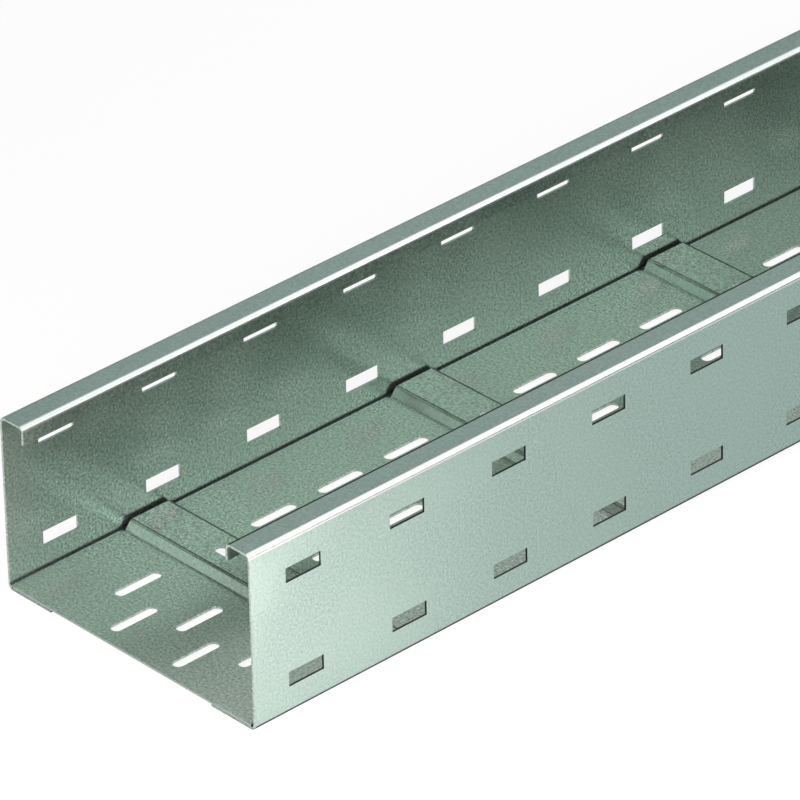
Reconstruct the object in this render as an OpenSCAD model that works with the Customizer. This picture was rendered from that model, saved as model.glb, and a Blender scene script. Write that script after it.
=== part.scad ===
// Long-span cable tray: two folded side rails and a ribbed, perforated base plate.
// X runs across the tray, Y along it and Z up. The origin is the middle of the underside.

/* [Tray] */
// Length of the tray
tray_length = 3000; // [1000:100:6000]
// Width over the outer faces of the side rails
tray_width = 200; // [200:50:600]
// Height of the side rails
side_height = 110; // [90:5:160]

/* [Side rail section] */
// Sheet thickness of the side rails
rail_t = 1.5; // [1:0.25:2.5]
// Inside radius of every fold in the side rails
fold_r = 2; // [1:0.5:4]
// Overall width of the top flange
top_flange_w = 19; // [15:0.5:25]
// Overall height of the lip that hangs from the top flange
lip_h = 11; // [9:0.5:14]
// Overall width of the foot flange that carries the base plate
foot_flange_w = 35; // [25:1:45]

/* [Side slots] */
// Length of a side slot
side_slot_l = 25; // [15:1:40]
// Height of a side slot
side_slot_h = 9; // [6:0.5:12]
// Distance between the centres of two neighbouring side slots
side_slot_pitch = 75; // [60:5:100]
// Height of the lower row above the underside
lower_row_rise = 21.5; // [15:0.5:28]
// Depth of the upper row below the top
upper_row_drop = 23.5; // [20:0.5:30]

/* [Base plate] */
// Sheet thickness of the base plate
base_t = 1.5; // [1:0.25:2.5]
// Clearance between the base plate's edge and the start of the rail's fold
base_edge_clear = 0.2; // [0.1:0.1:2]

/* [Ribs] */
// Distance between two neighbouring ribs
rib_pitch = 200; // [160:10:300]
// Width of a rib across its top, between its crests
rib_top_w = 29; // [20:1:40]
// Rise of a rib above the base plate
rib_rise = 5.2; // [3.5:0.1:8]
// Inside radius of the bends in a rib
rib_bend_r = 1; // [0.5:0.25:1.5]
// Flat strip that belongs to the rib, beside its foot
rib_landing = 2; // [1.5:0.5:5]
// How far the pressing of a rib draws in each end of it
rib_end_draw = 0.2; // [0.1:0.1:3]

/* [Base slots] */
// Length of a base slot, over its round ends
base_slot_l = 32; // [20:1:36]
// Width of a base slot
base_slot_w = 7; // [5:0.5:9]
// Distance between two slots that follow each other in a row
base_slot_step = 50; // [45:1:60]
// Distance between two neighbouring rows of slots
base_row_step = 25; // [20:1:35]
// Length of a slot that lies across the tray on a rib, over its round ends
rib_slot_l = 15; // [10:0.5:20]
// Distance between the middles of two neighbouring slots on a rib
rib_slot_step = 67; // [50:1:80]
// Least distance from a slot to a rib, to a foot flange or to the end of the tray
base_slot_margin = 6; // [4:0.5:10]

/* [Hidden] */
$fn = 32;

// A slot cutter stands out of the sheet by this much on each side
cut_over = 1;

// Places of the side slots along the tray, spread evenly about its middle
side_slot_count = floor(tray_length / side_slot_pitch);
side_slot_places = [for (i = [0 : side_slot_count - 1]) (i - (side_slot_count - 1) / 2) * side_slot_pitch];
side_slot_rows = [lower_row_rise, side_height - upper_row_drop];

// The base plate lies on the foot flanges, clear of the folds beside them
fold_out = fold_r + rail_t;
base_w = tray_width - 2 * (fold_out + base_edge_clear);
base_z = rail_t;

// The section of a rib, measured on the upper face of the sheet
// A rib's side climbs 4 for every 3 across and 5 along, and the tangent of half that angle is 1/2
rib_angle = atan2(4, 3);
rib_run = rib_rise * 3 / 4;
rib_slant = rib_rise * 5 / 4;
rib_foot_w = rib_top_w + 2 * rib_run;
rib_zone_w = rib_foot_w + 2 * rib_landing;
rib_bend_out = rib_bend_r + base_t;
crest_tangent = rib_bend_out / 2;
foot_tangent = rib_bend_r / 2;
rib_side_l = rib_slant - crest_tangent - foot_tangent;

// Ribs stand evenly about the middle of the tray, with a panel on each side of every rib
rib_count = floor(tray_length / rib_pitch);
rib_places = [for (i = [0 : rib_count - 1]) (i - (rib_count - 1) / 2) * rib_pitch];
panel_count = rib_count + 1;

// A slot's centre stays this close to the middle of its panel, of the plate and of the tray
slot_reach_panel = (rib_pitch - rib_zone_w) / 2 - base_slot_margin - base_slot_l / 2;
slot_reach_across = tray_width / 2 - foot_flange_w - base_slot_margin - base_slot_w / 2;
slot_reach_tray = tray_length / 2 - base_slot_margin - base_slot_l / 2;
side_rows_of_base = floor(slot_reach_across / base_row_step);
steps_in_panel = ceil(rib_pitch / base_slot_step);

// Slots on a rib are spread about the middle of the tray, as far as the foot flanges let them
rib_slot_reach = tray_width / 2 - foot_flange_w - base_slot_margin - rib_slot_l / 2;
rib_slot_steps = ceil(rib_slot_reach / rib_slot_step);
rib_slot_places = [
    for (k = [-rib_slot_steps : rib_slot_steps])
        let (across = (k + 0.5) * rib_slot_step)
        if (abs(across) <= rib_slot_reach) across
];

function panel_middle(i) = (i - (panel_count - 1) / 2) * rib_pitch;
function panel_start(i) = i == 0 ? -tray_length / 2 : rib_places[i - 1] + rib_zone_w / 2;
function panel_end(i) = i == panel_count - 1 ? tray_length / 2 : rib_places[i] - rib_zone_w / 2;

// Every second row of slots is shifted by half a step
function row_shift(row) = abs(row) % 2 == 0 ? 0 : base_slot_step / 2;
function slot_places(i, row) = [
    for (k = [-steps_in_panel : steps_in_panel])
        let (from_middle = k * base_slot_step + row_shift(row))
        let (along = panel_middle(i) + from_middle)
        if (abs(from_middle) <= slot_reach_panel && abs(along) <= slot_reach_tray) along
];

// Part of a ring of sheet: a bend of the given inside radius, sheet thickness, start and sweep
module bend(inside_r, t, start, sweep) {
    reach = 2 * (inside_r + t);
    intersection() {
        difference() {
            circle(inside_r + t);
            circle(inside_r);
        }
        polygon([
            [0, 0],
            reach * [cos(start), sin(start)],
            reach * [cos(start + sweep / 2), sin(start + sweep / 2)],
            reach * [cos(start + sweep), sin(start + sweep)]
        ]);
    }
}

// Section of the left rail, with its outer face at 0: foot flange, wall, top flange and lip
module rail_section() {
    translate([fold_out, 0])
        square([foot_flange_w - fold_out, rail_t]);
    translate([fold_out, fold_out])
        bend(fold_r, rail_t, 180, 90);
    translate([0, fold_out])
        square([rail_t, side_height - 2 * fold_out]);
    translate([fold_out, side_height - fold_out])
        bend(fold_r, rail_t, 90, 90);
    translate([fold_out, side_height - rail_t])
        square([top_flange_w - 2 * fold_out, rail_t]);
    translate([top_flange_w - fold_out, side_height - fold_out])
        bend(fold_r, rail_t, 0, 90);
    translate([top_flange_w - rail_t, side_height - lip_h])
        square([rail_t, lip_h - fold_out]);
}

module side_slots() {
    for (along = side_slot_places)
        for (up = side_slot_rows)
            translate([rail_t / 2, along, up])
                cube([rail_t + 2 * cut_over, side_slot_l, side_slot_h], center = true);
}

// The left rail, placed with its outer face at X = 0
module folded_rail() {
    difference() {
        rotate([90, 0, 0])
            linear_extrude(tray_length, center = true)
                rail_section();
        side_slots();
    }
}

module left_side_rail() {
    color([0.52, 0.60, 0.56])
        translate([-tray_width / 2, 0, 0])
            folded_rail();
}

module right_side_rail() {
    color([0.52, 0.60, 0.56])
        mirror([1, 0, 0])
            translate([-tray_width / 2, 0, 0])
                folded_rail();
}

// Left half of a rib's section, with the middle of the rib at 0 and the plate's upper face at 0
module half_rib_section() {
    // The top is drawn past the middle, so that the two halves share a strip
    translate([-rib_top_w / 2 + crest_tangent, rib_rise - base_t])
        square([rib_top_w / 2, base_t]);
    translate([-rib_top_w / 2 + crest_tangent, rib_rise - rib_bend_out])
        bend(rib_bend_r, base_t, 90, rib_angle);
    translate([-rib_foot_w / 2, 0])
        rotate(rib_angle)
            translate([foot_tangent, -base_t])
                square([rib_side_l, base_t]);
    translate([-rib_foot_w / 2 - foot_tangent, rib_bend_r])
        bend(rib_bend_r, base_t, -90, rib_angle);
    translate([-rib_zone_w / 2, -base_t])
        square([rib_landing - foot_tangent, base_t]);
}

// A slot of the given length with round ends, lying along Y
module round_ended_slot(length) {
    straight = length - base_slot_w;
    square([base_slot_w, straight], center = true);
    for (side = [-1, 1])
        translate([0, side * straight / 2])
            circle(d = base_slot_w);
}

// A rib across the tray, with its slots turned to lie along it
module rib() {
    difference() {
        rotate([90, 0, 90])
            linear_extrude(base_w - 2 * rib_end_draw, center = true) {
                half_rib_section();
                mirror([1, 0])
                    half_rib_section();
            }
        for (across = rib_slot_places)
            translate([across, 0, rib_rise - base_t - cut_over])
                linear_extrude(base_t + 2 * cut_over)
                    rotate(90)
                        round_ended_slot(rib_slot_l);
    }
}

// A flat panel of the base plate, from one rib to the next or to the end of the tray
module panel(i) {
    linear_extrude(base_t)
        difference() {
            translate([-base_w / 2, panel_start(i)])
                square([base_w, panel_end(i) - panel_start(i)]);
            for (row = [-side_rows_of_base : side_rows_of_base])
                for (along = slot_places(i, row))
                    translate([row * base_row_step, along])
                        round_ended_slot(base_slot_l);
        }
}

module base_plate() {
    color([0.49, 0.57, 0.52])
        translate([0, 0, base_z]) {
            for (i = [0 : panel_count - 1])
                panel(i);
            for (along = rib_places)
                translate([0, along, base_t])
                    rib();
        }
}

left_side_rail();
right_side_rail();
base_plate();
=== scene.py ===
# %% [markdown]
# # A long-span cable tray
# A long-span cable tray is a steel trough that carries cables along a wall or under a ceiling. Three
# sheets make it: two side rails, folded on a press brake, and a base plate with ribs pressed into it.
# The CAD part holds their true sizes. In this lesson each sheet is made again for the picture, with round
# folds, softened edges and a zinc finish, and it takes the place of its CAD solid.

# %% Load the CAD part
import math

import bpy
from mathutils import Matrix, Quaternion, Vector


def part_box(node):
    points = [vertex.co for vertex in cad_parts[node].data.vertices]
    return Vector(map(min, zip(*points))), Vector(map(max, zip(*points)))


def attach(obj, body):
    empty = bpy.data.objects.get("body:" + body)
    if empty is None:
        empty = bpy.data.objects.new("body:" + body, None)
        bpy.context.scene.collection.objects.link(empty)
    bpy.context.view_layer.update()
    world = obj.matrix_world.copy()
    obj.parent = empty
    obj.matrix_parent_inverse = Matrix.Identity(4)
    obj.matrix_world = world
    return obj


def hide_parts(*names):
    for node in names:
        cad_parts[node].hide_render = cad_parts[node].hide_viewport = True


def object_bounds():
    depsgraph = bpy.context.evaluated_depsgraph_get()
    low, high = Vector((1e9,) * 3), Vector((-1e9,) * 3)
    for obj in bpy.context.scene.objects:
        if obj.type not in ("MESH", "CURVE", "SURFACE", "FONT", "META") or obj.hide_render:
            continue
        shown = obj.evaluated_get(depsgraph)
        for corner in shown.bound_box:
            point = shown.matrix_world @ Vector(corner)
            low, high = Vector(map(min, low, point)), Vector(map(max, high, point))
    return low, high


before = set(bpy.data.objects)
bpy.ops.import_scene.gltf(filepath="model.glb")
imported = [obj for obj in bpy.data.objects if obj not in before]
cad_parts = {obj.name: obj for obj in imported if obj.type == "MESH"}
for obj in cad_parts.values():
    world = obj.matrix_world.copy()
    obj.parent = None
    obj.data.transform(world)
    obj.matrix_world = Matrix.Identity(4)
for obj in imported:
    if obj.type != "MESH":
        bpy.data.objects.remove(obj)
cad_low, cad_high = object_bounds()
print("CAD box:", tuple(cad_low), tuple(cad_high))

# %% [markdown]
# ## Sizes
# A size that the CAD part can tell is read from the box of its node, so that the sheets always fit it.
# The rest are the sizes that a drawing of the tray would give. The script works in metres, so each of
# them is written in millimetres and multiplied by MM.

# %% Read the main sizes
MM = 0.001
SHEET = 1.5 * MM
rail_low, rail_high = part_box("left_side_rail")
plate_low, plate_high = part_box("base_plate")
TRAY_LENGTH = cad_high.y - cad_low.y
TRAY_WIDTH = cad_high.x - cad_low.x
RAIL_HEIGHT = rail_high.z
FOOT_FLANGE = rail_high.x - rail_low.x
PLATE_WIDTH = plate_high.x - plate_low.x
PLATE_TOP = plate_low.z + SHEET
RIB_RISE = plate_high.z - PLATE_TOP
print(f"tray {TRAY_LENGTH:.3f} x {TRAY_WIDTH:.3f} x {RAIL_HEIGHT:.3f} m, plate {PLATE_WIDTH:.4f} m wide")
print(f"foot flange {FOOT_FLANGE:.4f} m, rib rise {RIB_RISE:.4f} m")

# %% [markdown]
# ## Camera
# The picture is taken from the near right, about 31 degrees above the horizon, with a long lens from far
# away: the edges of the tray run almost parallel. The place, the angles and the lens were worked out from
# the rows of slots, which are evenly spaced on the real tray. A camera in Blender looks along its own -Z
# axis, so it is first turned to face the tray, and then rolled a little about its line of sight.

# %% Set up the camera
CAMERA_PLACE = Vector((2.8365, -3.8876, 2.3993))
CAMERA_AZIMUTH = math.radians(47.62)
CAMERA_DROP = math.radians(31.17)
CAMERA_ROLL = math.radians(-1.42)
CAMERA_LENS_MM = 369.6
CAMERA_SENSOR_MM = 36.0

sight = Vector((
    -math.sin(CAMERA_AZIMUTH) * math.cos(CAMERA_DROP),
    math.cos(CAMERA_AZIMUTH) * math.cos(CAMERA_DROP),
    -math.sin(CAMERA_DROP),
))
camera_data = bpy.data.cameras.new("camera")
camera_data.lens = CAMERA_LENS_MM
camera_data.sensor_width = CAMERA_SENSOR_MM
camera = bpy.data.objects.new("camera", camera_data)
camera.location = CAMERA_PLACE
camera.rotation_mode = "QUATERNION"
camera.rotation_quaternion = sight.to_track_quat("-Z", "Y") @ Quaternion((0, 0, 1), CAMERA_ROLL)
bpy.context.scene.collection.objects.link(camera)
bpy.context.scene.camera = camera
print("camera looks along", tuple(round(x, 3) for x in sight))

# %% [markdown]
# ## Tools for making sheets
# Every piece of this tray is one thin sheet, so every piece is made the same way. First comes one face
# of the sheet, with no thickness, from named points and faces. Geometry Nodes repeat what the press
# repeats. Then three modifiers finish it: Solidify gives the sheet its thickness, Bevel rounds the
# punched and sheared edges, and Weighted Normal keeps the flat faces flat beside the round folds.

# %% Helpers for points, faces and arcs
FOLD_STEPS = 8


def arc(centre, radius, start, end, steps=FOLD_STEPS):
    """Points on an arc in a plane, from one angle to another in degrees, both ends included."""
    angles = [math.radians(start + (end - start) * i / steps) for i in range(steps + 1)]
    return [(centre[0] + radius * math.cos(a), centre[1] + radius * math.sin(a)) for a in angles]


def sheet_face(name, points, faces):
    """A mesh object from points and faces, shaded smooth, in the scene."""
    mesh = bpy.data.meshes.new(name)
    mesh.from_pydata(points, [], faces, shade_flat=False)
    made = bpy.data.objects.new(name, mesh)
    bpy.context.scene.collection.objects.link(made)
    print(name, "has", len(points), "points and", len(faces), "faces")
    return made


# %% Helpers for any node tree
def add_node(tree, kind, inputs, **settings):
    """A node whose inputs are linked where the value is another node's output, and set otherwise."""
    made = tree.nodes.new(kind)
    for key, value in settings.items():
        setattr(made, key, value)
    for label, value in inputs.items():
        for one in value if isinstance(value, list) else [value]:
            if isinstance(one, bpy.types.NodeSocket):
                tree.links.new(one, made.inputs[label])
            else:
                made.inputs[label].default_value = one
    return made


def calculate(tree, operation, *values):
    """A Math node on one or two values, which are numbers or outputs of nodes."""
    return add_node(tree, "ShaderNodeMath", dict(enumerate(values)), operation=operation).outputs[0]


# %% Helpers for Geometry Nodes trees
MERGE_DISTANCE = 0.02 * MM


def new_tree(name, inputs):
    """An empty tree with a geometry output and the given inputs, as pairs of a name and a socket type."""
    tree = bpy.data.node_groups.new(name, "GeometryNodeTree")
    for label, kind in inputs:
        tree.interface.new_socket(label, in_out="INPUT", socket_type="NodeSocket" + kind)
    tree.interface.new_socket("Geometry", in_out="OUTPUT", socket_type="NodeSocketGeometry")
    return tree


def row_of_points(tree, count, pitch):
    """Points along the tray, evenly spread about its middle. count and pitch are outputs of nodes."""
    run = calculate(tree, "MULTIPLY", calculate(tree, "SUBTRACT", count, 1.0), pitch)
    start = calculate(tree, "MULTIPLY", run, -0.5)
    first = add_node(tree, "ShaderNodeCombineXYZ", {"Y": start}).outputs[0]
    step = add_node(tree, "ShaderNodeCombineXYZ", {"Y": pitch}).outputs[0]
    line = {"Count": count, "Start Location": first, "Offset": step}
    return add_node(tree, "GeometryNodeMeshLine", line, mode="OFFSET").outputs[0]


def copies_on_points(tree, points, shape):
    """A copy of the shape on each point."""
    return add_node(tree, "GeometryNodeInstanceOnPoints", {"Points": points, "Instance": shape}).outputs[0]


def end_tree(tree, geometry, material):
    """Makes the copies real, joins their edges, gives them the material and sends them out."""
    real = add_node(tree, "GeometryNodeRealizeInstances", {"Geometry": geometry}).outputs[0]
    weld = {"Geometry": real, "Distance": MERGE_DISTANCE}
    whole = add_node(tree, "GeometryNodeMergeByDistance", weld).outputs[0]
    dressed = add_node(tree, "GeometryNodeSetMaterial", {"Geometry": whole, "Material": material})
    add_node(tree, "NodeGroupOutput", {"Geometry": dressed.outputs[0]})


def use_tree(piece, tree, values):
    """Puts a tree on a piece as a modifier. Each value goes in by the identifier of its socket."""
    modifier = piece.modifiers.new(tree.name, "NODES")
    modifier.node_group = tree
    for socket in tree.interface.items_tree:
        if socket.in_out == "INPUT" and socket.name in values:
            modifier[socket.identifier] = values[socket.name]


# %% Helper that turns a face into a finished sheet
INWARDS = -1
EDGE_ROUNDING = 0.12 * MM
EDGE_STEPS = 2
SHARP_ANGLE = math.radians(40)
FLAT_WEIGHT = 100


def finish_sheet(piece):
    """Gives the face its thickness and its edges, and makes the result a plain mesh."""
    thicken = piece.modifiers.new("thickness", "SOLIDIFY")
    thicken.thickness = SHEET
    thicken.offset = INWARDS
    thicken.use_even_offset = True
    edges = piece.modifiers.new("edges", "BEVEL")
    edges.width = EDGE_ROUNDING
    edges.segments = EDGE_STEPS
    edges.limit_method = "ANGLE"
    edges.angle_limit = SHARP_ANGLE
    flats = piece.modifiers.new("flats", "WEIGHTED_NORMAL")
    flats.mode = "FACE_AREA"
    flats.weight = FLAT_WEIGHT
    graph = bpy.context.evaluated_depsgraph_get()
    finished = piece.evaluated_get(graph)
    mesh = bpy.data.meshes.new_from_object(finished, preserve_all_data_layers=True, depsgraph=graph)
    piece.modifiers.clear()
    piece.data = mesh
    mesh.calc_loop_triangles()
    print(piece.name, "is a plain mesh of", len(mesh.loop_triangles), "triangles")


# %% [markdown]
# ## Galvanised steel
# The sheets are coated with zinc: a satin grey with a green cast, a fine grain, and soft clouds where the
# coating froze. It mirrors far more than it scatters, so the shader is mostly metallic. A photo of zinc
# could be wrapped around the sheets, but two noises, the grain and the clouds, have no borders and no
# stretched spots. Both go into the colour, the clouds go into the gloss, and the grain goes into the
# bump. They sit on Object coordinates, so they stay on the metal.

# %% Helpers for shader trees
def stretch(tree, value, span, low=0.0, high=1.0):
    """Maps a value from a span, given as its two ends, to the range from low to high."""
    ends = {"Value": value, "From Min": span[0], "From Max": span[1], "To Min": low, "To Max": high}
    return add_node(tree, "ShaderNodeMapRange", ends).outputs[0]


def mix(tree, share, first, second):
    """A mix of two values."""
    return add_node(tree, "ShaderNodeMix", {0: share, 2: first, 3: second}, data_type="FLOAT").outputs[0]


def blend(tree, share, first, second):
    """A mix of two colours."""
    return add_node(tree, "ShaderNodeMix", {0: share, 6: first, 7: second}, data_type="RGBA").outputs[2]


# %% Make the zinc
ZINC_DARK = (0.212, 0.263, 0.232, 1)
ZINC_LIGHT = (0.528, 0.655, 0.577, 1)
ZINC_METALLIC = 0.9
ROUGHNESS_RANGE = (0.22, 0.32)
GRAIN = {"Scale": 650, "Detail": 2.0, "Roughness": 0.6}
CLOUDS = {"Scale": 9, "Detail": 3.0, "Roughness": 0.5}
GRAIN_SHARE = 0.85
NOISE_RANGE = (0.32, 0.68)
GRAIN_DEPTH = 0.015 * MM
GRAIN_BUMP = 1.0


def zinc_material(name):
    """Galvanised sheet steel with grain and clouds."""
    material = bpy.data.materials.new(name)
    material.use_nodes = True
    tree = material.node_tree
    shader = tree.nodes["Principled BSDF"]
    shader.inputs["Metallic"].default_value = ZINC_METALLIC
    place = add_node(tree, "ShaderNodeTexCoord", {}).outputs["Object"]
    grain = add_node(tree, "ShaderNodeTexNoise", {"Vector": place, **GRAIN}).outputs["Fac"]
    clouds = add_node(tree, "ShaderNodeTexNoise", {"Vector": place, **CLOUDS}).outputs["Fac"]
    mottle = stretch(tree, mix(tree, GRAIN_SHARE, clouds, grain), NOISE_RANGE)
    colour = blend(tree, mottle, ZINC_DARK, ZINC_LIGHT)
    gloss = stretch(tree, clouds, NOISE_RANGE, *ROUGHNESS_RANGE)
    dents = {"Height": grain, "Strength": GRAIN_BUMP, "Distance": GRAIN_DEPTH}
    tree.links.new(colour, shader.inputs["Base Color"])
    tree.links.new(gloss, shader.inputs["Roughness"])
    tree.links.new(add_node(tree, "ShaderNodeBump", dents).outputs[0], shader.inputs["Normal"])
    return material


# %% [markdown]
# ## Painted light and shade on the rails
# On a rail, light and shade are partly painted into the colour. Faces that look out of the tray or up
# get a darker, colder grey, which is painted shade, and their grain is weak. The upper folds get a
# lighter grey, which is a painted highlight. On the right rail the edges of the slots and the inner fold
# are painted nearly black, which is painted shade. The narrow seam beside the plate, and the outside along
# the feet that lie on the floor, are darkened, which is painted shade too. All this could be placed by
# hand, but the place of a point and the lean of its normal tell where each mark belongs, so nodes
# find them along the whole rail. Only the seam needs Ambient Occlusion, which feels how open a spot is.

# %% Helpers for painted marks that depend on the place
END_SKIN = 1 * MM
FOLD_RADIUS = 3.5 * MM


def product(tree, first, *others):
    """Values multiplied with each other. Of tests that give 0 or 1, this tells whether all hold."""
    for other in others:
        first = calculate(tree, "MULTIPLY", first, other)
    return first


def spot_of(tree):
    """The place of a point (across, along, up) and the lean of its normal in the same directions."""
    place = add_node(tree, "ShaderNodeTexCoord", {}).outputs["Object"]
    normal = add_node(tree, "ShaderNodeNewGeometry", {}).outputs["Normal"]
    parts = [add_node(tree, "ShaderNodeSeparateXYZ", {0: vector}).outputs for vector in (place, normal)]
    names = ("across", "along", "up", "sideways", "lengthways", "upwards")
    return dict(zip(names, (*parts[0], *parts[1])))


def rail_spot_of(tree):
    """A spot on a rail. It also tells the lean out of the tray, and two tests of the place."""
    spot = spot_of(tree)
    from_middle = calculate(tree, "ABSOLUTE", spot["along"])
    spot["outwards"] = product(tree, calculate(tree, "SIGN", spot["across"]), spot["sideways"])
    spot["at_top"] = calculate(tree, "GREATER_THAN", spot["up"], RAIL_HEIGHT - FOLD_RADIUS)
    spot["before_end"] = calculate(tree, "LESS_THAN", from_middle, TRAY_LENGTH / 2 - END_SKIN)
    return spot


# %% Paint shade on outward and upward faces, and highlights on the folds
# Painted shade: a darker, colder grey for the faces that look out of the tray or up, and how strongly it is
# laid on.
ZINC_FACING_SHADE = (0.247, 0.368, 0.335, 1)
PAINTED_SHADE_SHARE = 0.7
FACING = 0.5
# Painted highlight: a lighter grey for the upper folds.
ZINC_FOLD_HIGHLIGHT = (0.66, 0.72, 0.69, 1)
FOLD_LEAN = (0.08, 0.25)


def shade_facing_faces(tree, spot, colour):
    """Paints shade on what faces outwards or upwards: a darker, colder grey."""
    lean = calculate(tree, "MAXIMUM", spot["outwards"], spot["upwards"])
    out_or_up = calculate(tree, "GREATER_THAN", lean, FACING)
    return blend(tree, product(tree, out_or_up, PAINTED_SHADE_SHARE), colour, ZINC_FACING_SHADE)


def highlight_folds(tree, spot, colour):
    """Paints a highlight on the upper folds, where the normal leans both sideways and up."""
    leans = [calculate(tree, "ABSOLUTE", spot[way]) for way in ("sideways", "upwards")]
    bent = stretch(tree, calculate(tree, "MINIMUM", *leans), FOLD_LEAN)
    return blend(tree, product(tree, bent, spot["at_top"]), colour, ZINC_FOLD_HIGHLIGHT)


# %% Paint shade on the right rail's slot edges and inner fold
# Painted shade: nearly black, for the right rail's slot edges and inner fold, and for the ribs' crests.
SHADE_BLACK = (0.03, 0.035, 0.032, 1)
INNER_FOLD_LEAN = 0.02


def shade_right_rail(tree, spot, colour):
    """Paints shade on the right rail: on its inner fold, and on the edges of its slots, whose normals lie
    in the plane of the wall.
    """
    leans = [calculate(tree, "ABSOLUTE", spot[way]) for way in ("lengthways", "upwards")]
    edge = calculate(tree, "GREATER_THAN", calculate(tree, "MAXIMUM", *leans), FACING)
    above_foot = calculate(tree, "GREATER_THAN", spot["up"], 2 * FOLD_RADIUS)
    below_top = calculate(tree, "LESS_THAN", spot["up"], RAIL_HEIGHT - 2 * FOLD_RADIUS)
    slot_edges = product(tree, edge, above_foot, below_top, spot["before_end"])
    inner_fold = product(tree, calculate(tree, "LESS_THAN", spot["outwards"], -INNER_FOLD_LEAN), spot["at_top"])
    on_right = calculate(tree, "GREATER_THAN", spot["across"], 0.0)
    in_shade = product(tree, calculate(tree, "MAXIMUM", slot_edges, inner_fold), on_right)
    return blend(tree, in_shade, colour, SHADE_BLACK)


# %% Paint shade in the seam and along the foot of a rail
SEAM_REACH = 6 * MM
SEAM_SAMPLES = 4
SEAM_OPENNESS = (0.47, 0.56)
# Painted shade: how dark the seam and the outside along the foot become.
SEAM_SHADE = 0.005
FOOT_SHADE_HEIGHT = (2.2 * MM, 3.3 * MM)
FOOT_SHADE = 0.04


def painted_shade_factor(tree, spot):
    """1 where no shade is painted, and almost 0 in the seam beside the plate and on the outside along the
    floor, where shade is painted.
    """
    reach = {"Distance": SEAM_REACH}
    openness = add_node(tree, "ShaderNodeAmbientOcclusion", reach, samples=SEAM_SAMPLES).outputs["AO"]
    seam_shade = stretch(tree, openness, SEAM_OPENNESS, SEAM_SHADE)
    outside = product(tree, calculate(tree, "GREATER_THAN", spot["outwards"], 0.0), spot["before_end"])
    foot_shade = mix(tree, outside, 1.0, stretch(tree, spot["up"], FOOT_SHADE_HEIGHT, FOOT_SHADE))
    return calculate(tree, "MINIMUM", seam_shade, foot_shade)


# %% Make the rails' material
def paint_light_on_rails(material):
    """Each step takes the colour that the step before it has made. The painted shade of the seam and the
    feet comes last, on the colour and on the specular tint.
    """
    tree = material.node_tree
    shader = tree.nodes["Principled BSDF"]
    colour = shader.inputs["Base Color"].links[0].from_socket
    spot = rail_spot_of(tree)
    for step in (shade_facing_faces, highlight_folds, shade_right_rail):
        colour = step(tree, spot, colour)
    unshaded = painted_shade_factor(tree, spot)
    dimmed = {0: colour, "Scale": unshaded}
    shaded_colour = add_node(tree, "ShaderNodeVectorMath", dimmed, operation="SCALE").outputs[0]
    tree.links.new(shaded_colour, shader.inputs["Base Color"])
    tree.links.new(unshaded, shader.inputs["Specular Tint"])
    print(material.name, "has", len(tree.nodes), "nodes")


rail_zinc = zinc_material("rail_zinc")
paint_light_on_rails(rail_zinc)

# %% [markdown]
# ## Painted shade on the plate
# The sides of the ribs get a darker grey, which is painted shade, and along their crests a thin dark
# line is painted, which is painted shade too. The ribs stand evenly, so nothing has to be placed rib by
# rib: a Ping-Pong node tells how far a point lies from the middle of the nearest rib.

# %% Make the plate's material
RIB_PITCH = 200 * MM
# Painted shade: a darker grey for the sides of the ribs.
ZINC_SLOPE_SHADE = (0.285, 0.368, 0.326, 1)
SLOPE_LEAN = (0.3, 0.7)
CREST = 13.3 * MM
CREST_REACH = (0.6 * MM, 0.2 * MM)
# Painted shade: how dark the line along the crests of the ribs becomes.
CREST_SHADE = 0.8


def paint_shade_on_plate(material):
    """Paints shade on the sides of the ribs, and a thin dark line of shade along their crests."""
    tree = material.node_tree
    colour_in = tree.nodes["Principled BSDF"].inputs["Base Color"]
    zinc = colour_in.links[0].from_socket
    spot = spot_of(tree)
    slope = stretch(tree, calculate(tree, "ABSOLUTE", spot["lengthways"]), SLOPE_LEAN)
    shaded_slopes = blend(tree, product(tree, slope, PAINTED_SHADE_SHARE), zinc, ZINC_SLOPE_SHADE)
    from_rib = calculate(tree, "PINGPONG", spot["along"], RIB_PITCH / 2)
    from_crest = calculate(tree, "ABSOLUTE", calculate(tree, "SUBTRACT", from_rib, CREST))
    crest_shade = stretch(tree, from_crest, CREST_REACH, 0.0, CREST_SHADE)
    tree.links.new(blend(tree, crest_shade, shaded_slopes, SHADE_BLACK), colour_in)
    print(material.name, "has", len(tree.nodes), "nodes")


plate_zinc = zinc_material("plate_zinc")
paint_shade_on_plate(plate_zinc)

# %% [markdown]
# ## Side rails
# A side rail is one long strip, folded three times into a foot flange that carries the base plate, the
# wall, a top flange and a lip that hangs from it. Before the folding, a press punches two slots in the
# strip, moves it on by one pitch, and punches again. The model does the same: one cell of the rail, one
# pitch long and with its two slots left out, is repeated along the tray. The cell is a grid of four-sided
# faces, which stays clean when it gets its thickness. Cutting the slots with a boolean would leave long
# thin triangles.

# %% Draw the section of a rail
TOP_FLANGE = 19 * MM
LIP = 11 * MM
LOWER_ROW_RISE = 21.5 * MM
UPPER_ROW_DROP = 23.5 * MM
SIDE_SLOT_HEIGHT = 9 * MM
slot_bottoms = [row - SIDE_SLOT_HEIGHT / 2 for row in (LOWER_ROW_RISE, RAIL_HEIGHT - UPPER_ROW_DROP)]


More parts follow.
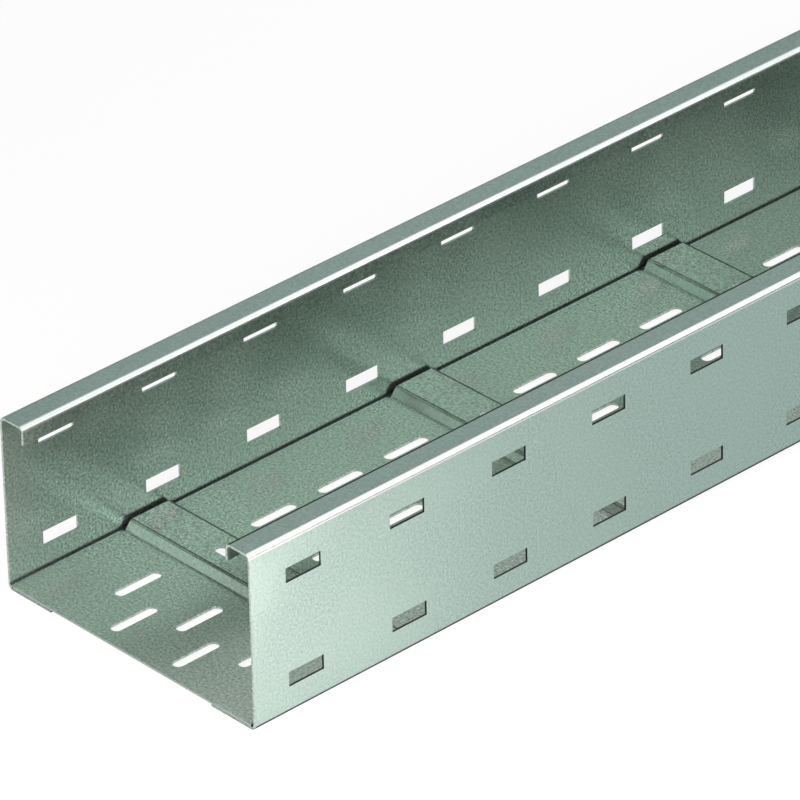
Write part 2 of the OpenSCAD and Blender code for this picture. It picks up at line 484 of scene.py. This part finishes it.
def rail_section():
    """The outer face of the rail from its foot to its lip, as pairs of a depth inwards and a height."""
    low = FOLD_RADIUS
    high = RAIL_HEIGHT - FOLD_RADIUS
    wall = [(0, up) for bottom in slot_bottoms for up in (bottom, bottom + SIDE_SLOT_HEIGHT)]
    return (
        [(FOOT_FLANGE, 0)]
        + arc((low, low), FOLD_RADIUS, 270, 180)
        + wall
        + arc((low, high), FOLD_RADIUS, 180, 90)
        + arc((TOP_FLANGE - FOLD_RADIUS, high), FOLD_RADIUS, 90, 0)
        + [(TOP_FLANGE, RAIL_HEIGHT - LIP)]
    )


print("the rail's section has", len(rail_section()), "points")

# %% Make one cell of a rail
SIDE_SLOT_LENGTH = 25 * MM
SIDE_SLOT_PITCH = 75 * MM
LEFT, RIGHT = -1, 1


def rail_cell(name, side):
    """One pitch of the left or the right rail, without its slots."""
    section = rail_section()
    half_pitch = SIDE_SLOT_PITCH / 2
    half_slot = SIDE_SLOT_LENGTH / 2
    lines = [-half_pitch, -half_slot, half_slot, half_pitch]
    points = [(side * (TRAY_WIDTH / 2 - deep), along, up) for deep, up in section for along in lines]
    slot_corners = [((0, bottom), -half_slot) for bottom in slot_bottoms]
    faces = []
    for i in range(len(section) - 1):
        for j in range(len(lines) - 1):
            if (section[i], lines[j]) in slot_corners:
                continue
            first, second = i * len(lines) + j, (i + 1) * len(lines) + j
            face = [first, second, second + 1, first + 1]
            faces.append(face if side == LEFT else face[::-1])
    return sheet_face(name, points, faces)


left_rail = rail_cell("left_rail_sheet", LEFT)
right_rail = rail_cell("right_rail_sheet", RIGHT)


# %% Repeat the cell along the tray
def repeat_tree():
    """A tree that repeats its own geometry along the tray."""
    tree = new_tree("repeat_along_tray", (
        ("Cell", "Geometry"), ("Count", "Int"), ("Pitch", "Float"), ("Material", "Material")))
    inputs = add_node(tree, "NodeGroupInput", {}).outputs
    points = row_of_points(tree, inputs["Count"], inputs["Pitch"])
    end_tree(tree, copies_on_points(tree, points, inputs["Cell"]), inputs["Material"])
    return tree


side_slot_count = round(TRAY_LENGTH / SIDE_SLOT_PITCH)
along_rail = repeat_tree()
for rail in (left_rail, right_rail):
    use_tree(rail, along_rail, {"Count": side_slot_count, "Pitch": SIDE_SLOT_PITCH, "Material": rail_zinc})
    finish_sheet(rail)
print("each rail has", len(slot_bottoms) * side_slot_count, "slots")

# %% [markdown]
# ## Base plate
# The base plate is one sheet with ribs pressed up across it, and rows of slots with round ends between the
# ribs. Each rib has two short slots of its own, which lie along it. The plate is laid out on a raster, and
# every slot sits in a frame of whole raster steps. So the plate needs only four shapes: one slot in its
# frame, one rib with its slots, one plain panel with the frames left out, and the two ends. Geometry
# Nodes put the slots on their places, repeat the ribs and the panels, and join all the edges.

# %% Draw a slot in its frame
SLOT_WIDTH = 7 * MM
BASE_SLOT_LENGTH = 32 * MM
RASTER = 12.5 * MM
FRAME_HALF_WIDTH = RASTER
BASE_FRAME_HALF = 2 * RASTER
QUARTER_STEPS = 6


def steps_between(low, high):
    """Raster lines from low to high, both included."""
    count = round((high - low) / RASTER)
    return [low + (high - low) * i / count for i in range(count + 1)]


def slot_in_frame(length, half_frame, shift=0.0):
    """A slot along Y in a flat frame, as a right and a left face that meet on the slot's middle line."""
    radius = SLOT_WIDTH / 2
    straight = (length - SLOT_WIDTH) / 2
    hole = arc((0, shift - straight), radius, -90, 0, QUARTER_STEPS)
    hole += arc((0, shift + straight), radius, 0, 90, QUARTER_STEPS)
    rim = [(x, -half_frame) for x in steps_between(0, FRAME_HALF_WIDTH)]
    rim += [(FRAME_HALF_WIDTH, y) for y in steps_between(-half_frame, half_frame)[1:-1]]
    rim += [(x, half_frame) for x in steps_between(0, FRAME_HALF_WIDTH)[::-1]]
    right = rim + hole[::-1]
    left = [(-x, y) for x, y in right[::-1]]
    return right + left, [list(range(len(right))), list(range(len(right), 2 * len(right)))]


slot_outline, slot_faces = slot_in_frame(BASE_SLOT_LENGTH, BASE_FRAME_HALF)
slot_frame = sheet_face("slot_frame", [(x, y, 0) for x, y in slot_outline], slot_faces)

# %% Find the places of the slots
SLOT_STEP = 50 * MM
ROW_STEP = 25 * MM
ROWS = (-2, -1, 0, 1, 2)
END_MARGIN = 6 * MM
rib_count = round(TRAY_LENGTH / RIB_PITCH)
first_rib = -(rib_count - 1) / 2 * RIB_PITCH
panel_places = [first_rib + (i - 0.5) * RIB_PITCH for i in range(rib_count + 1)]
slot_reach = TRAY_LENGTH / 2 - END_MARGIN - BASE_SLOT_LENGTH / 2


def slots_in_panel():
    """Places of the slots from the middle of a panel: every second row is shifted by half a step."""
    even = [(row * ROW_STEP, k * SLOT_STEP) for row in ROWS if row % 2 == 0 for k in (-1, 0, 1)]
    odd = [(row * ROW_STEP, k * SLOT_STEP / 2) for row in ROWS if row % 2 for k in (-1, 1)]
    return even + odd


slot_places = [
    (across, middle + along)
    for middle in panel_places
    for across, along in slots_in_panel()
    if abs(middle + along) <= slot_reach
]
print(len(slot_places), "slots in", len(panel_places), "panels")

# %% [markdown]
# ### Ribs
# A rib is pressed up between two dies, and it stiffens the plate across the tray. A Bevel modifier could
# round its bends, but here they are arcs in its profile, so that the two faces of a bend keep one centre
# and the sheet stays one thickness. A rib's side climbs 4 for every 3 along the tray. The tangent of half
# that angle is 1/2, so the centre of each bend lies half its radius along from the corner that it rounds.

# %% Draw the profile of a rib
RIB_TOP = 29 * MM
RIB_BEND = 1 * MM
RIB_LANDING = 2 * MM
RIB_CLIMB, RIB_RUN = 4, 3
RIB_ANGLE = math.degrees(math.atan2(RIB_CLIMB, RIB_RUN))
BEND_STEPS = 6
rib_foot = RIB_TOP / 2 + RIB_RISE * RIB_RUN / RIB_CLIMB
rib_zone = rib_foot + RIB_LANDING


def rib_profile():
    """The upper face of a rib along the tray: landing, foot bend, crest bend, top, and back down."""
    outer = RIB_BEND + SHEET
    foot = arc((-rib_foot - RIB_BEND / 2, RIB_BEND), RIB_BEND, -90, RIB_ANGLE - 90, BEND_STEPS)
    crest = arc((-RIB_TOP / 2 + outer / 2, RIB_RISE - outer), outer, 90 + RIB_ANGLE, 90, BEND_STEPS)
    half = [(-rib_zone, 0), *foot, *crest, (-RASTER, RIB_RISE)]
    whole = [*half, (0, RIB_RISE), *[(-y, z) for y, z in half[::-1]]]
    return [(y, PLATE_TOP + z) for y, z in whole]


print("a rib takes", round(2 * rib_zone / MM, 2), "mm of the plate")


# %% Helpers for faces with room for slots
def plain_face(across, profile, frames):
    """A face over lines across the tray and a profile along it, with the frames of slots left out.

    Each frame is given as its middle in X and in Y, and half its size in X and in Y.
    """
    points = [(x, y, z) for y, z in profile for x in across]
    faces = []
    for j in range(len(profile) - 1):
        for i in range(len(across) - 1):
            x = (across[i] + across[i + 1]) / 2
            y = (profile[j][0] + profile[j + 1][0]) / 2
            if any(abs(x - fx) < half_x and abs(y - fy) < half_y for fx, fy, half_x, half_y in frames):
                continue
            first = j * len(across) + i
            faces.append([first, first + 1, first + 1 + len(across), first + len(across)])
    return points, faces


def joined(*sheets):
    """Several pairs of points and faces as one pair."""
    points, faces = [], []
    for more_points, more_faces in sheets:
        faces += [[i + len(points) for i in face] for face in more_faces]
        points += more_points
    return points, faces


# %% Make a rib with its two slots
RIB_END_DRAW = 0.2 * MM
RIB_SLOT_LENGTH = 15 * MM
RIB_SLOT_ACROSS = 33.5 * MM
RIB_FRAME_ACROSS = 2.5 * RASTER
RIB_FRAME_HALF = 1.5 * RASTER
field_half = len(ROWS) * ROW_STEP / 2
rib_half = PLATE_WIDTH / 2 - RIB_END_DRAW
rib_lines = [-rib_half, *steps_between(-field_half, field_half), rib_half]


def rib_slot(side):
    """A slot that lies along the rib on one side of the tray, turned out of the plate's own direction."""
    outline, faces = slot_in_frame(RIB_SLOT_LENGTH, RIB_FRAME_HALF, RIB_SLOT_ACROSS - RIB_FRAME_ACROSS)
    points = [(side * (y + RIB_FRAME_ACROSS), -side * x, PLATE_TOP + RIB_RISE) for x, y in outline]
    return points, faces


rib_frames = [(side * RIB_FRAME_ACROSS, 0, RIB_FRAME_HALF, FRAME_HALF_WIDTH) for side in (LEFT, RIGHT)]
rib_plain = plain_face(rib_lines, rib_profile(), rib_frames)
rib = sheet_face("rib", *joined(rib_plain, rib_slot(LEFT), rib_slot(RIGHT)))

# %% Make a plain panel and the two ends
PANEL_FIELD = 6 * RASTER
panel_half = RIB_PITCH / 2 - rib_zone
panel_lines = [-PLATE_WIDTH / 2, *rib_lines, PLATE_WIDTH / 2]


def flat_face(stops, slots):
    """A flat stretch of the plate between stops along the tray, without the frames of the given slots."""
    frames = [(x, y, FRAME_HALF_WIDTH, BASE_FRAME_HALF) for x, y in slots]
    return plain_face(panel_lines, [(y, PLATE_TOP) for y in stops], frames)


panel_stops = [-panel_half, *steps_between(-PANEL_FIELD, PANEL_FIELD), panel_half]
panel = sheet_face("panel", *flat_face(panel_stops, slots_in_panel()))
near_end = -TRAY_LENGTH / 2
end_stops = [*steps_between(near_end, near_end + PANEL_FIELD), first_rib - rib_zone]
near_points, near_faces = flat_face(end_stops, [place for place in slot_places if place[1] < first_rib])
far_points = [(-x, -y, z) for x, y, z in near_points]
ends = sheet_face("plate_ends", *joined((near_points, near_faces), (far_points, near_faces)))


# %% Put the slots, ribs and panels together
def plate_tree():
    """A tree that puts slot frames on their places, and joins them with the ribs, panels and ends."""
    tree = new_tree("ribbed_plate", (
        ("Slot places", "Geometry"), ("Slot frame", "Object"), ("Rib", "Object"), ("Panel", "Object"),
        ("Ends", "Object"), ("Rib count", "Int"), ("Panel count", "Int"), ("Pitch", "Float"),
        ("Material", "Material")))
    inputs = add_node(tree, "NodeGroupInput", {}).outputs
    shapes = {
        label: add_node(tree, "GeometryNodeObjectInfo", {"Object": inputs[label]}).outputs["Geometry"]
        for label in ("Slot frame", "Rib", "Panel", "Ends")
    }
    places = {
        "Slot frame": inputs["Slot places"],
        "Rib": row_of_points(tree, inputs["Rib count"], inputs["Pitch"]),
        "Panel": row_of_points(tree, inputs["Panel count"], inputs["Pitch"]),
    }
    copies = [copies_on_points(tree, points, shapes[label]) for label, points in places.items()]
    whole = add_node(tree, "GeometryNodeJoinGeometry", {"Geometry": [shapes["Ends"], *copies]}).outputs[0]
    end_tree(tree, whole, inputs["Material"])
    return tree


plate = sheet_face("ribbed_base_sheet", [(x, y, PLATE_TOP) for x, y in slot_places], [])
use_tree(plate, plate_tree(), {
    "Slot frame": slot_frame, "Rib": rib, "Panel": panel, "Ends": ends,
    "Rib count": rib_count, "Panel count": rib_count - 1, "Pitch": RIB_PITCH, "Material": plate_zinc})
finish_sheet(plate)
for helper in (slot_frame, rib, panel, ends):
    bpy.data.objects.remove(helper)

# %% [markdown]
# ## Fasten the sheets to the frame
# Nothing on the tray moves, so all three sheets ride on the root body. Each one stands for its CAD solid.

# %% Ride and replace
for piece, node in ((left_rail, "left_side_rail"), (right_rail, "right_side_rail"), (plate, "base_plate")):
    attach(piece, "root")
    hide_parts(node)
    print(piece.name, "replaces", node)

# %% [markdown]
# ## Floor and room
# The tray lies on a wide white floor in a dim room. To the camera, and in reflections, the floor is nearly
# white whatever light falls on it, but it keeps some plain white paint under that, so the tray still casts
# a soft shadow. More light could whiten it too, but that light would also fall on the tray.

# %% Make the floor
FLOOR_SIZE = 60
FLOOR_PAINT = (0.8, 0.8, 0.8, 1)
FLOOR_GLOW = 0.86
FLOOR_SHADE = (0.2, 0.2, 0.2, 1)


def seen_directly(tree):
    """1 for rays from the camera, and for rays that a mirror or glass sends on, and 0 for all others."""
    rays = add_node(tree, "ShaderNodeLightPath", {}).outputs
    sent_on = calculate(tree, "MAXIMUM", rays["Is Glossy Ray"], rays["Is Transmission Ray"])
    return calculate(tree, "MAXIMUM", rays["Is Camera Ray"], sent_on)


def floor_material():
    """White paint that glows towards the camera."""
    material = bpy.data.materials.new("floor_paint")
    material.use_nodes = True
    tree = material.node_tree
    tree.nodes.clear()
    paint = add_node(tree, "ShaderNodeBsdfDiffuse", {"Color": FLOOR_PAINT}).outputs[0]
    shade = add_node(tree, "ShaderNodeBsdfDiffuse", {"Color": FLOOR_SHADE}).outputs[0]
    glow = add_node(tree, "ShaderNodeEmission", {"Strength": FLOOR_GLOW}).outputs[0]
    seen = add_node(tree, "ShaderNodeAddShader", {0: shade, 1: glow}).outputs[0]
    mixed = add_node(tree, "ShaderNodeMixShader", {0: seen_directly(tree), 1: paint, 2: seen}).outputs[0]
    add_node(tree, "ShaderNodeOutputMaterial", {"Surface": mixed})
    return material


half_floor = FLOOR_SIZE / 2
floor_corners = [(x * half_floor, y * half_floor, 0) for x, y in ((-1, -1), (1, -1), (1, 1), (-1, 1))]
floor = sheet_face("floor", floor_corners, [[0, 1, 2, 3]])
floor.data.materials.append(floor_material())

# %% Make the room
ROOM_LIGHT = {"Color": (1, 1, 1, 1), "Strength": 0.17}
room = bpy.data.worlds.new("room")
bpy.context.scene.world = room
room.use_nodes = True
room.node_tree.nodes.clear()
room_light = add_node(room.node_tree, "ShaderNodeBackground", ROOM_LIGHT).outputs[0]
add_node(room.node_tree, "ShaderNodeOutputWorld", {"Surface": room_light})
print("the room's light has a strength of", ROOM_LIGHT["Strength"])

# %% [markdown]
# ## Lamps
# Zinc shows what it mirrors more than what falls on it, so the lamps are placed where their mirror images
# are wanted. A softbox at the far right and a wide one overhead whiten every fold over its full width.
# After two bounces, off the wall and off the plate, the one at the far right also lights the inside of
# the tray. A wide dim one at the far left is what the flanges show. Softboxes at the near right and the
# near left and a low lamp at the near end light the fronts of the ribs, and a softbox at the right lights
# their bends. A small lamp beside the right wall brightens its near end. This one and the low one are warm.

# %% Hang the lamps
NEAR_PART = Vector((0, -1.25, 0.05))
SOFTBOX_DISTANCE = 2.0
SOFTBOXES = {
    "far_right_softbox": {"towards": (0.63, 0.57, 0.53), "size": 0.9, "watts": 5.8},
    "overhead_softbox": {"towards": (0.13, 0.577, 0.805), "size": 1.4, "watts": 8.5},
    "far_left_softbox": {"towards": (-0.48, 0.577, 0.66), "size": 1.4, "watts": 3.9},
    "near_right_softbox": {"towards": (0.632, -0.659, 0.409), "size": 0.9, "watts": 8.0},
    "near_left_softbox": {"towards": (-0.62, -0.75, 0.22), "size": 0.9, "watts": 1.8},
    "right_softbox": {"towards": (0.63, -0.07, 0.77), "size": 0.9, "watts": 5.0},
}
WHITE_LIGHT = (1, 1, 1)
WARM_LIGHT = (1.0, 0.78, 0.77)
WARM_LAMPS = {
    "end_lamp": {"place": (0.0, -1.95, 0.25), "aim": (0.0, -1.45, 0.02), "size": 0.25, "watts": 2.5},
    "wall_lamp": {"place": (0.35, -1.50, 0.06), "aim": (0.10, -1.50, 0.055), "size": 0.1, "watts": 3.4},
}


def area_lamp(name, place, aim, size, watts, tint):
    """A square lamp that faces a point. The camera doesn't see it, but the metal does."""
    data = bpy.data.lights.new(name, "AREA")
    data.shape = "SQUARE"
    data.size = size
    data.energy = watts
    data.color = tint
    lamp = bpy.data.objects.new(name, data)
    lamp.location = place
    lamp.rotation_euler = (Vector(aim) - Vector(place)).to_track_quat("-Z", "Y").to_euler()
    lamp.visible_camera = False
    bpy.context.scene.collection.objects.link(lamp)
    print(name, "gives", watts, "W")


for name, softbox in SOFTBOXES.items():
    place = NEAR_PART + SOFTBOX_DISTANCE * Vector(softbox["towards"]).normalized()
    area_lamp(name, place, NEAR_PART, softbox["size"], softbox["watts"], WHITE_LIGHT)
for name, lamp in WARM_LAMPS.items():
    area_lamp(name, tint=WARM_LIGHT, **lamp)
bpy.context.scene.view_settings.view_transform = "Standard"
